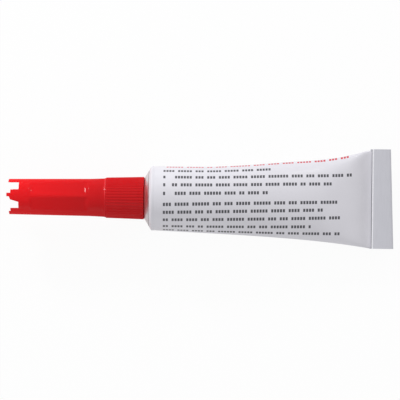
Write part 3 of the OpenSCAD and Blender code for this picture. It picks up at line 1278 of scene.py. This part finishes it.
    def build_membrane(self) -> Piece:
        """Builds the skin across the mouth of the neck, dished in its middle.

        Returns:
            The piece.
        """
        draft = Draft()
        low, top = self.neck_top, self.neck_top + self.membrane_t
        under, over, lip = self.dish_under, self.dish_over, self.membrane_lip
        rows = [(self.dish_r, low - self.dish), (under[0], low - self.dish / 2), (under[1], low)]
        rows += [(self.neck_r - lip, low), (self.neck_r, low + self.membrane_foot)]
        rows += [(self.neck_r, top - lip), (self.neck_r - lip, top)]
        rows += [(over[1], top), (over[0], top - self.dish / 2), (self.dish_r, top - self.dish)]
        rings = turned(rows, full_turn(self.membrane_points), draft)
        draft.skin(rings)
        draft.fan(rings[0], (0.0, 0.0, low - self.dish))
        draft.fan(rings[-1], (0.0, 0.0, top - self.dish))
        return put(draft.mesh("membrane"), Foil(), Body.TUBE, Slot.METAL, "neck_membrane")

    def build_seal(self) -> Piece:
        """Builds the sealing band that lines the sleeve beside the fold.

        Returns:
            The piece.
        """
        draft = Draft()
        shares = np.linspace(self.seal_from, self.seal_to, self.seal_rings)
        outer = [self.ring(s, self.wall + self.seal_gap) for s in shares]
        inner = [self.ring(s, self.wall + self.seal_depth) for s in shares]
        draft.skin([draft.add(r) for r in outer + inner[::-1]], closed=True)
        return put(draft.mesh("seal_band"), LatexSeal(), Body.TUBE, Slot.SEAL, "tail_seal")

    def build_glue(self) -> Piece:
        """Builds the liquid, level in the tube.

        Returns:
            The piece.
        """
        draft = Draft()
        turn = np.linspace(math.pi, 3 * math.pi, self.columns, endpoint=False)
        gap = self.glue_gap
        under = self.shoulder_h - self.metal - gap
        rows = [
            (self.neck_bore - gap, self.neck_top - gap), (self.neck_bore - gap, under),
            (self.collar_r - self.metal - gap, under), (self.radius - self.metal - gap, -self.metal - gap),
            (self.radius - self.metal - gap, self.sleeve_start - self.glue_straight),
        ]
        rings = turned(rows, turn, draft)
        shares = [s for s in self.shares() if self.glue_from < s < self.glue_to]
        rings += [draft.add(self.ring(s, self.wall + gap)) for s in shares]
        draft.skin(rings)
        draft.fan(rings[0], (0.0, 0.0, self.neck_top - gap))
        draft.faces.append(tuple(rings[-1]))
        mesh = draft.mesh("adhesive_fill")
        self.level(mesh)
        return put(mesh, ClearAdhesive(), Body.TUBE, Slot.GLUE, "glue_charge")

    def level(self, mesh: Mesh) -> None:
        """Cuts the liquid off at its level surface.

        Args:
            mesh: the liquid's mesh.
        """
        back = REST.matrix().inverted()
        point = back @ Vector((0.0, 0.0, self.fill_height * MM))
        up = back.to_3x3() @ Vector((0.0, 0.0, 1.0))
        bm = bmesh.new()
        bm.from_mesh(mesh)
        everything = bm.verts[:] + bm.edges[:] + bm.faces[:]
        bmesh.ops.bisect_plane(bm, geom=everything, plane_co=point, plane_no=up, clear_outer=True)
        bmesh.ops.holes_fill(bm, edges=[e for e in bm.edges if e.is_boundary], sides=0)
        bmesh.ops.recalc_face_normals(bm, faces=bm.faces)
        bm.to_mesh(mesh)
        bm.free()
        finish_mesh(mesh, SHARP_DEG)

    def build(self) -> list[Piece]:
        """Builds and dresses every piece of the tube.

        Returns:
            The pieces.
        """
        return [
            self.build_sleeve(), self.build_fold(), self.build_shoulder(), self.build_membrane(),
            self.build_seal(), self.build_glue(),
        ]


@dataclass
class Nozzle:
    """The red moulding on the neck: ribbed collar, plug and hollow spout."""

    base_z: float = 1.60
    collar_r: float = 4.55
    collar_top_r: float = 4.33
    collar_top: float = 9.785
    collar_round: float = 0.18
    rib_count: int = 44
    rib_depth: float = 0.11
    points_per_rib: int = 6
    rib_power: float = 0.7
    rib_from: float = 0.8
    rib_rings: int = 9
    rib_ends: tuple[float, ...] = (0.9, 0.75, 0.5, 0.25, 0.0)
    corner_deg: float = 15.0
    foot_round: tuple[Row, ...] = ((0.12, 0.0), (0.035, 0.035), (0.0, 0.12))
    foot_flat: float = 0.42
    foot_bevel: float = 0.12
    plug_r: float = 3.2
    plug_top: float = 12.95
    plug_root: tuple[Row, ...] = ((0.12, 0.0), (0.03, 0.03), (0.0, 0.12))
    plug_round: float = 0.25
    plug_steps: int = 5
    spout_r: float = 2.3
    spout_tip_r: float = 0.95
    spout_top: float = 26.52
    spout_root: float = 0.15
    spout_shares: tuple[float, ...] = (0.25, 0.5, 0.75, 0.99)
    tip_round: float = 0.1
    outlet_r: float = 0.4
    outlet_l: float = 1.6
    outlet_lip: float = 0.08
    channel_r: float = 1.6
    socket_r: float = 3.55
    socket_top: float = 7.35
    socket_round: float = 0.1
    screw_top: float = 6.95
    screw_rings: int = 40
    thread_rise: float = 0.28
    screw: Thread = Thread(1.5, 2.0, 6.7, rise=(0.2, 0.36), fall=(0.5, 0.66), shift=0.5)
    # The two reds paint light along the nozzle: darker at the base, brighter towards the spout's tip.
    red: Colour = (0.55, 0.004, 0.007, 1.0)
    painted_lit_red: Colour = (0.66, 0.004, 0.008, 1.0)
    painted_light_from: float = 1.6
    painted_light_to: float = 26.5

    def collar_at(self, z: float) -> float:
        """Returns the collar's radius over its ribs at a height."""
        share = (z - self.base_z) / (self.collar_top - self.base_z)
        return between(self.collar_r, self.collar_top_r, share)

    def ribbed(self, angles: np.ndarray, radius: float, z: float, share: float) -> np.ndarray:
        """Returns a ring of the ribbed collar: rounded ribs with narrow grooves."""
        wave = 0.5 - 0.5 * np.cos(self.rib_count * angles)
        return hoop(radius - self.rib_depth * share * (1.0 - wave ** self.rib_power), angles, z)

    def thread(self, angles: np.ndarray, z: float) -> np.ndarray:
        """Returns a ring of the socket, with the thread that runs between the turns of the neck's."""
        return hoop(self.socket_r - self.thread_rise * self.screw.ridge(angles, z), angles, z)

    def build(self) -> list[Piece]:
        """Builds and dresses the nozzle.

        Returns:
            Its one piece.
        """
        draft = Draft()
        angles = full_turn(self.rib_count * self.points_per_rib)
        rows = [(self.socket_r + self.foot_bevel, self.base_z), (self.collar_r - self.foot_flat, self.base_z)]
        rings = turned(rows, angles, draft)
        for drop, z in self.foot_round:
            at = self.base_z + z
            rings.append(draft.add(self.ribbed(angles, self.collar_at(at) - drop, at, 1.0)))
        low, high = self.base_z + self.rib_from, self.collar_top - self.collar_round
        for z in np.linspace(low, high, self.rib_rings):
            rings.append(draft.add(self.ribbed(angles, self.collar_at(z), z, 1.0)))
        corner = (self.collar_top_r - self.collar_round, high)
        top_edge = arc(corner, self.collar_round, self.corner_deg, 90, len(self.rib_ends) - 1)
        for share, (r, z) in zip(self.rib_ends, top_edge):
            rings.append(draft.add(self.ribbed(angles, r, z, share)))
        rows = [(self.plug_r + out, self.collar_top + up) for out, up in self.plug_root]
        corner = (self.plug_r - self.plug_round, self.plug_top - self.plug_round)
        rows += arc(corner, self.plug_round, 0, 90, self.plug_steps)
        rows += [(self.spout_r + self.spout_root, self.plug_top)]
        rows += [(self.spout_r, self.plug_top + self.spout_root)]
        for t in self.spout_shares:
            at = between(self.plug_top, self.spout_top, t)
            rows.append((between(self.spout_r, self.spout_tip_r, t), at))
        rows += [
            (self.spout_tip_r - self.tip_round, self.spout_top),
            (self.outlet_r + self.outlet_lip, self.spout_top),
            (self.outlet_r, self.spout_top - self.outlet_lip),
            (self.outlet_r, self.spout_top - self.outlet_l),
            (self.channel_r, self.socket_top),
            (self.socket_r - self.socket_round, self.socket_top),
            (self.socket_r, self.socket_top - self.socket_round),
        ]
        rings += turned(rows, angles, draft)
        turns = np.linspace(self.screw_top, self.base_z + self.foot_bevel, self.screw_rings)
        rings += [draft.add(self.thread(angles, z)) for z in turns]
        draft.skin(rings, closed=True)
        # Painted highlight: the paler band sits at the spout's tip.
        finish = MouldedPlastic(
            "nozzle_red", self.red, self.painted_lit_red, self.painted_light_from, self.painted_light_to, lip_z=self.spout_top
        )
        return [put(draft.mesh("nozzle_body"), finish, Body.NOZZLE, Slot.NOZZLE, "nozzle")]


@dataclass(frozen=True)
class Prong:
    """One stretch of the crown's edge, from its upper to its lower side, with the drop at each."""

    upper: float
    lower: float
    upper_drop: float
    lower_drop: float


@dataclass
class Cap:
    """The red moulding over the spout: round skirt, scooped flats, and a crown of prongs about a spike."""

    base_z: float = 9.80
    length: float = 20.97
    skirt_r: float = 4.13
    waist_r: float = 3.99
    crown_r: float = 3.78
    skirt_h: float = 3.2
    bead: float = 0.08
    bead_at: float = 0.09
    bead_half: float = 0.14
    flat_low: float = 0.36
    flat_half: float = 3.56
    flat_lean: float = 27.5
    flat_turn: float = 3.0
    ridge: float = 0.09
    ramp_deg: float = 32.0
    ramp_soft: float = 0.12
    ring_h: float = 2.24
    crown_h: float = 2.53
    crown_wall: float = 0.68
    floor_drop: float = 0.15
    socket_r: float = 3.25
    socket_top: float = 13.15
    room_r: float = 2.6
    room_tip_r: float = 1.25
    roof_z: float = 26.72
    pin_r: float = 0.33
    pin_end: float = 25.52
    spike_r: float = 0.85
    spike_h: float = 1.55
    spike_root: float = 0.1
    spike_waist: Row = (0.5, 0.55)
    spike_tip: Row = (0.1, 0.06)
    pin_taper: Row = (0.6, 0.1)
    foot_bevel: float = 0.15
    foot_in: float = 0.1
    foot_round: float = 0.03
    foot_deg: float = -65.0
    foot_steps: int = 3
    edge_round: float = 0.05
    edge_from: float = 0.02
    bead_rings: tuple[float, float, int] = (0.06, 0.7, 14)
    skirt_rings: tuple[float, float, int] = (1.0, 0.25, 5)
    ramp_rings: tuple[float, int] = (0.12, 24)
    flat_rings: tuple[float, int] = (0.7, 14)
    band_rings: tuple[float, float, int] = (0.4, 0.12, 5)
    # The two reds paint light along the cap: darker at the skirt, brighter towards the crown.
    red: Colour = (0.60, 0.004, 0.007, 1.0)
    painted_lit_red: Colour = (0.83, 0.005, 0.009, 1.0)
    painted_light_from: float = 10.5
    painted_light_to: float = 29.0
    crease: float = 0.065
    column_deg: float = 1.6
    step_drop: float = 0.8
    heel_drop: float = 0.53
    side_drop: float = 0.25
    under_drop: float = 0.42

    @property
    def top(self) -> float:
        """Height of the prongs' tips."""
        return self.base_z + self.length

    @property
    def slot_z(self) -> float:
        """Height of the slots' floor."""
        return self.top - self.crown_h

    def prongs(self) -> list[Prong]:
        """Lists the stretches of the crown on one face.

        Returns:
            The stretches, from the upper prong to the lower.
        """
        slot, step, side, under = self.crown_h, self.step_drop, self.side_drop, self.under_drop
        return [
            Prong(1.0, 0.804, side, side), Prong(0.804, 0.413, slot, slot), Prong(0.413, 0.214, step, step),
            Prong(0.214, 0.011, 0.0, 0.0), Prong(0.011, -0.164, self.heel_drop, step),
            Prong(-0.164, -0.294, step, slot), Prong(-0.294, -0.64, slot, slot),
            Prong(-0.64, -0.81, step, step), Prong(-0.81, -1.0, under, under),
        ]

    def columns(self) -> list[Column]:
        """Divides the crown's edge into columns all round.

        Returns:
            For each column its angles on the outer and inner wall, in radians, and the heights of the
            edge before and after it.
        """
        inner_r = self.crown_r - self.crown_wall
        near = []
        for p in self.prongs():
            out, ins = (
                [math.asin(max(-1.0, min(1.0, side * self.crown_r / r))) for side in (p.upper, p.lower)]
                for r in (self.crown_r, inner_r)
            )
            count = max(2, round(math.degrees(out[0] - out[1]) / self.column_deg))
            for k in range(count):
                near.append([
                    (between(*out, u), between(*ins, u), self.top - between(p.upper_drop, p.lower_drop, u))
                    for u in (k / count, (k + 1) / count)
                ])
        far = [[(math.pi - o, math.pi - i, h) for o, i, h in cell[::-1]] for cell in near[::-1]]
        cells = [[(o + 2 * math.pi, i + 2 * math.pi, h) for o, i, h in cell] for cell in near] + far
        return [(a[0], a[1], cells[n - 1][1][2], a[2]) for n, (a, _) in enumerate(cells)]

    def radius(self, z: float) -> float:
        """Follows the outside where it is round.

        Args:
            z: the height.

        Returns:
            The radius there.
        """
        shank = self.base_z + self.skirt_h
        if z < shank:
            t = (z - self.base_z) / self.skirt_h
            bead = self.bead * math.exp(-((z - self.base_z - self.bead_at) / self.bead_half) ** 2)
            return between(self.skirt_r, self.waist_r, t) + bead
        return between(self.waist_r, self.crown_r, (z - shank) / (self.top - shank))

    @property
    def flats_from(self) -> float:
        """Height at which the flats start, above the skirt."""
        return self.base_z + self.skirt_h + self.flat_low

    @property
    def flats_to(self) -> float:
        """Height at which the flats end, below the crown's ring."""
        return self.slot_z - self.ring_h

    @property
    def ramp_l(self) -> float:
        """Length over which a flat runs out, with its softened creases."""
        return (self.waist_r - self.flat_half) / math.tan(math.radians(self.ramp_deg)) + 3 * self.ramp_soft

    def outside(self, angles: np.ndarray, z: float) -> np.ndarray:
        """Draws a ring of the outside: round, with four flats that run out on a cone at each end.

        Args:
            angles: the angles of its points.
            z: its height.

        Returns:
            Its points.
        """
        flats = []
        for face in (self.flat_turn, 180.0 + self.flat_turn):
            for lean in (-self.flat_lean, self.flat_lean):
                facing = np.cos(angles - math.radians(face + lean))
                flat = self.flat_half / np.maximum(facing, FACING_LEAST)
                flats.append(np.where(facing > FACING_LEAST, flat, 2 * self.skirt_r))
        steep = math.tan(math.radians(self.ramp_deg))
        low = self.radius(self.flats_from) - (z - self.flats_from) * steep
        high = self.radius(self.flats_to) - (self.flats_to - z) * steep
        ramp = np.full_like(angles, max(low, high))
        scoop = -soft_min([-soft_min(flats, self.ridge), -ramp], self.ramp_soft)
        return hoop(soft_min([np.full_like(angles, self.radius(z)), scoop], self.crease), angles, z)

    def heights(self) -> list[float]:
        """Sets out the outside's rings, close together where the flats run out.

        Returns:
            Their heights.
        """
        base, low, high, run = self.base_z, self.flats_from, self.flats_to, self.ramp_l
        bead, skirt, band = self.bead_rings, self.skirt_rings, self.band_rings
        lead, dense = self.ramp_rings
        gap, even = self.flat_rings
        spans = (
            (base + bead[0], base + bead[1], bead[2]),
            (base + skirt[0], low - skirt[1], skirt[2]),
            (low - lead, low + run, dense),
            (low + run + gap, high - run - gap, even),
            (high - run, high + lead, dense),
            (high + band[0], self.slot_z - band[1], band[2]),
        )
        return [z for span in spans for z in np.linspace(*span)] + [self.slot_z]

    def crown(self, draft: Draft, columns: Sequence[Column], base: Sequence[int]) -> list[int]:
        """Builds the prongs on the outside's last ring.

        Args:
            draft: the mesh in the making.
            columns: the columns of the crown's edge.
            base: the outside's last ring.

        Returns:
            The ring round the crown's floor.
        """
        inner_r = self.crown_r - self.crown_wall
        floor_z = self.slot_z - self.floor_drop
        outs: list[Upright] = []
        inns: list[Upright] = []
        floor = draft.add([(inner_r * math.cos(i), inner_r * math.sin(i), floor_z) for _, i, _, _ in columns])
        for n, (out, inn, before, after) in enumerate(columns):
            wall, hollow = {self.slot_z: base[n]}, {floor_z: floor[n]}
            for h in sorted({round(before, HEIGHT_DIGITS), round(after, HEIGHT_DIGITS)}):
                if h > self.slot_z + SAME_HEIGHT:
                    r = self.radius(h)
                    wall[h] = draft.add([(r * math.cos(out), r * math.sin(out), h)])[0]
                key = h if h > self.slot_z + SAME_HEIGHT else self.slot_z
                hollow[key] = draft.add([(inner_r * math.cos(inn), inner_r * math.sin(inn), key)])[0]
            outs.append(wall)
            inns.append(hollow)
            low, high = sorted(max(self.slot_z, round(h, HEIGHT_DIGITS)) for h in (before, after))
            if high - low > SAME_HEIGHT:
                foot, sill = (line[self.nearest(line, low)] for line in (wall, hollow))
                draft.faces.append((foot, wall[high], hollow[high], sill))
        for n, column in enumerate(columns):
            m = (n + 1) % len(columns)
            a, b = (round(h, HEIGHT_DIGITS) for h in (column[3], columns[m][2]))
            self.panel(draft, outs[n], outs[m], a, b)
            self.panel(draft, inns[n], inns[m], a, b)
            edge = [
                outs[n][self.nearest(outs[n], a)], outs[m][self.nearest(outs[m], b)],
                inns[m][self.nearest(inns[m], b)], inns[n][self.nearest(inns[n], a)],
            ]
            draft.faces.append(tuple(edge))
        return floor

    @staticmethod
    def nearest(line: Upright, height: float) -> float:
        """Returns the height on a column's line that is nearest to the one asked for."""
        return min(line, key=lambda h: abs(h - height))

    @staticmethod
    def panel(draft: Draft, left: Upright, right: Upright, a: float, b: float) -> None:
        """Adds the face of the wall between two columns.

        Args:
            draft: the mesh in the making.
            left: the left column's points by height.
            right: the right column's.
            a: the wall's height on the left.
            b: its height on the right.
        """
        up = [right[h] for h in sorted(right) if h <= b + SAME_HEIGHT]
        down = [left[h] for h in sorted(left, reverse=True) if h <= a + SAME_HEIGHT]
        face = up + down
        if len(set(face)) > 2 and (len(up) > 1 or len(down) > 1):
            draft.faces.append(tuple(face))

    def build(self) -> list[Piece]:
        """Builds and dresses the cap.

        Returns:
            Its one piece.
        """
        draft = Draft()
        columns = self.columns()
        angles = np.array([c[0] for c in columns])
        inner = np.array([c[1] for c in columns])
        rows = [(self.socket_r + self.foot_bevel, self.base_z), (self.skirt_r - self.foot_in, self.base_z)]
        bend = (self.skirt_r + self.foot_round, self.base_z + self.foot_round)
        rows += arc(bend, self.foot_round, self.foot_deg, 0, self.foot_steps)
        foot = turned(rows, angles, draft)
        rings = foot + [draft.add(self.outside(angles, z)) for z in self.heights()]
        draft.skin(rings)
        floor = self.crown(draft, columns, rings[-1])
        floor_z = self.slot_z - self.floor_drop
        waist, tip = self.spike_waist, self.spike_tip
        spike = turned([
            (self.spike_r + self.spike_root, floor_z), (self.spike_r, floor_z + self.spike_root),
            (self.spike_r * waist[0], floor_z + self.spike_h * waist[1]),
            (tip[0], floor_z + self.spike_h - tip[1]),
        ], inner, draft)
        draft.skin([floor] + spike)
        draft.fan(spike[-1], (0.0, 0.0, floor_z + self.spike_h))
        hollow = turned([
            (self.socket_r, self.base_z + self.foot_bevel), (self.socket_r, self.socket_top),
            (self.room_r, self.socket_top), (self.room_tip_r, self.roof_z), (self.pin_r, self.roof_z),
            (self.pin_r, self.pin_end + self.pin_taper[1]), (self.pin_r * self.pin_taper[0], self.pin_end),
        ], angles, draft)
        draft.skin([foot[0]] + hollow)
        draft.fan(hollow[-1], (0.0, 0.0, self.pin_end))
        mesh = draft.mesh("cap_body")
        round_edges(mesh, self.edge_round, steps=2, sharp_deg=50.0, low_z=self.slot_z - self.edge_from)
        finish_mesh(mesh, SHARP_DEG)
        # Painted highlight: the paler band sits on the skirt's bead.
        lip_z = self.base_z + self.bead_at
        finish = MouldedPlastic("cap_red", self.red, self.painted_lit_red, self.painted_light_from, self.painted_light_to, lip_z)
        return [put(mesh, finish, Body.CAP, Slot.CAP, "cap")]


@dataclass(frozen=True)
class Lamp:
    """One round soft lamp: where it hangs and how wide it is, in metres, and its power in watts."""

    name: str
    place: Point
    size: float
    power: float
    aim: Point = (0.0, 0.0, 0.005)

    def hang(self) -> bpy.types.Object:
        """Hangs the lamp, turned towards the tube.

        Returns:
            The lamp.
        """
        data = bpy.data.lights.new(self.name, "AREA")
        data.shape = "DISK"
        data.size = self.size
        data.energy = self.power
        lamp = enter(self.name, data)
        lamp.location = self.place
        lamp.rotation_mode = "QUATERNION"
        lamp.rotation_quaternion = (Vector(self.aim) - Vector(self.place)).to_track_quat("-Z", "Y")
        return lamp


@dataclass
class Studio:
    """The pale floor, the soft light and the camera at the photo's angle."""

    distance: float = 430.0
    field_mm: float = 85.72
    centre_z: float = -10.394
    centre_y: float = -0.256
    roll_deg: float = 0.69
    sensor: float = 36.0
    clip: Row = (0.01, 10.0)
    floor_size: float = 3.0
    floor_colour: Colour = (0.94, 0.94, 0.94, 1.0)
    white_share: float = 0.94
    gloss_share: float = 0.26
    sky_level: float = 0.565
    sky_slope: float = 0.15
    sky_horizon: float = 0.15
    sky_from: Point = (-0.25, 0.85, 0.45)
    lamps: tuple[Lamp, ...] = (
        Lamp("soft_lamp", (-0.148, 0.218, 0.138), 0.06, 0.31),
        Lamp("side_lamp", (0.088, 0.218, 0.138), 0.03, 0.05),
        Lamp("low_fill", (-0.02, -0.300, 0.050), 0.25, 0.06),
    )

    def camera(self) -> bpy.types.Object:
        """Places the camera square to the tube's axis.

        Returns:
            The camera.
        """
        data = bpy.data.cameras.new("camera")
        data.sensor_width = self.sensor
        data.lens = self.sensor * self.distance / self.field_mm
        data.clip_start, data.clip_end = self.clip
        eye = enter("camera", data)
        turn = REST.matrix().to_3x3()
        right, up, back = -turn.col[2], turn.col[1], turn.col[0]
        pose = Matrix((right, up, back)).transposed().to_4x4()
        pose = pose @ Matrix.Rotation(math.radians(self.roll_deg), 4, "Z")
        pose.translation = REST.place(self.distance, self.centre_y, self.centre_z)
        eye.matrix_world = pose
        bpy.context.scene.camera = eye
        return eye

    def seen(self, g: Nodes) -> Socket:
        """Tells how white a ray sees the surroundings: the camera wholly, and gloss by its share.

        Args:
            g: the nodes to add to.

        Returns:
            The whiteness, from 0 to 1.
        """
        path = g.node("LightPath").outputs
        shown = g.math("MAXIMUM", path["Is Camera Ray"], path["Is Transmission Ray"])
        return g.math("MAXIMUM", shown, g.times(path["Is Glossy Ray"], self.gloss_share))

    def floor(self) -> bpy.types.Object:
        """Lays the pale floor.

        Returns:
            The floor.
        """
        half = self.floor_size / 2
        mesh = bpy.data.meshes.new("floor")
        corners = [(-half, -half, 0), (half, -half, 0), (half, half, 0), (-half, half, 0)]
        mesh.from_pydata(corners, [], [(0, 1, 2, 3)])
        plane = enter("floor", mesh)
        g = Graph("pale_floor")
        glow = g.node("Emission", {"Color": WHITE, "Strength": 1.0})
        matt = g.node("BsdfDiffuse", {"Color": self.floor_colour})
        share = g.times(self.seen(g), self.white_share)
        both = g.node("MixShader", {0: share, 1: matt.outputs[0], 2: glow.outputs[0]})
        g.feed(g.tree.nodes["Material Output"].inputs["Surface"], both.outputs[0])
        mesh.materials.append(g.material)
        return plane

    def world(self) -> None:
        """Lights the scene from all round, more from one side than from the other."""
        world = bpy.data.worlds.new("studio")
        bpy.context.scene.world = world
        world.use_nodes = True
        g = Nodes(world.node_tree)
        toward = g.node("TexCoord").outputs["Generated"]
        side = {0: toward, 1: Vector(self.sky_from).normalized()}
        facing = g.node("VectorMath", side, operation="DOT_PRODUCT").outputs["Value"]
        level = g.math("MULTIPLY_ADD", facing, self.sky_slope, self.sky_level + self.sky_horizon)
        height = g.math("ABSOLUTE", g.axes(toward)[2])
        level = g.math("MULTIPLY_ADD", height, -self.sky_horizon, level)
        shade = g.tree.nodes["Background"]
        g.feed(shade.inputs["Color"], WHITE)
        g.feed(shade.inputs["Strength"], level)
        white = g.node("Background", {"Color": WHITE, "Strength": 1.0})
        both = g.node("MixShader", {0: self.seen(g), 1: shade.outputs[0], 2: white.outputs[0]})
        g.feed(g.tree.nodes["World Output"].inputs["Surface"], both.outputs[0])

    def build(self) -> None:
        """Sets up the camera, floor and light."""
        self.camera()
        self.floor()
        self.world()
        for lamp in self.lamps:
            lamp.hang()
        bpy.context.scene.view_settings.view_transform = "Standard"


def main() -> None:
    """Builds the studio and each sub-assembly in turn."""
    logging.basicConfig(level=logging.INFO, format="%(message)s")
    Studio().build()
    for part in (CollapsibleTube(), Nozzle(), Cap()):
        for piece in part.build():
            log.info("%s: %d faces", piece.name, len(piece.data.polygons))


if __name__ == "__main__":
    main()
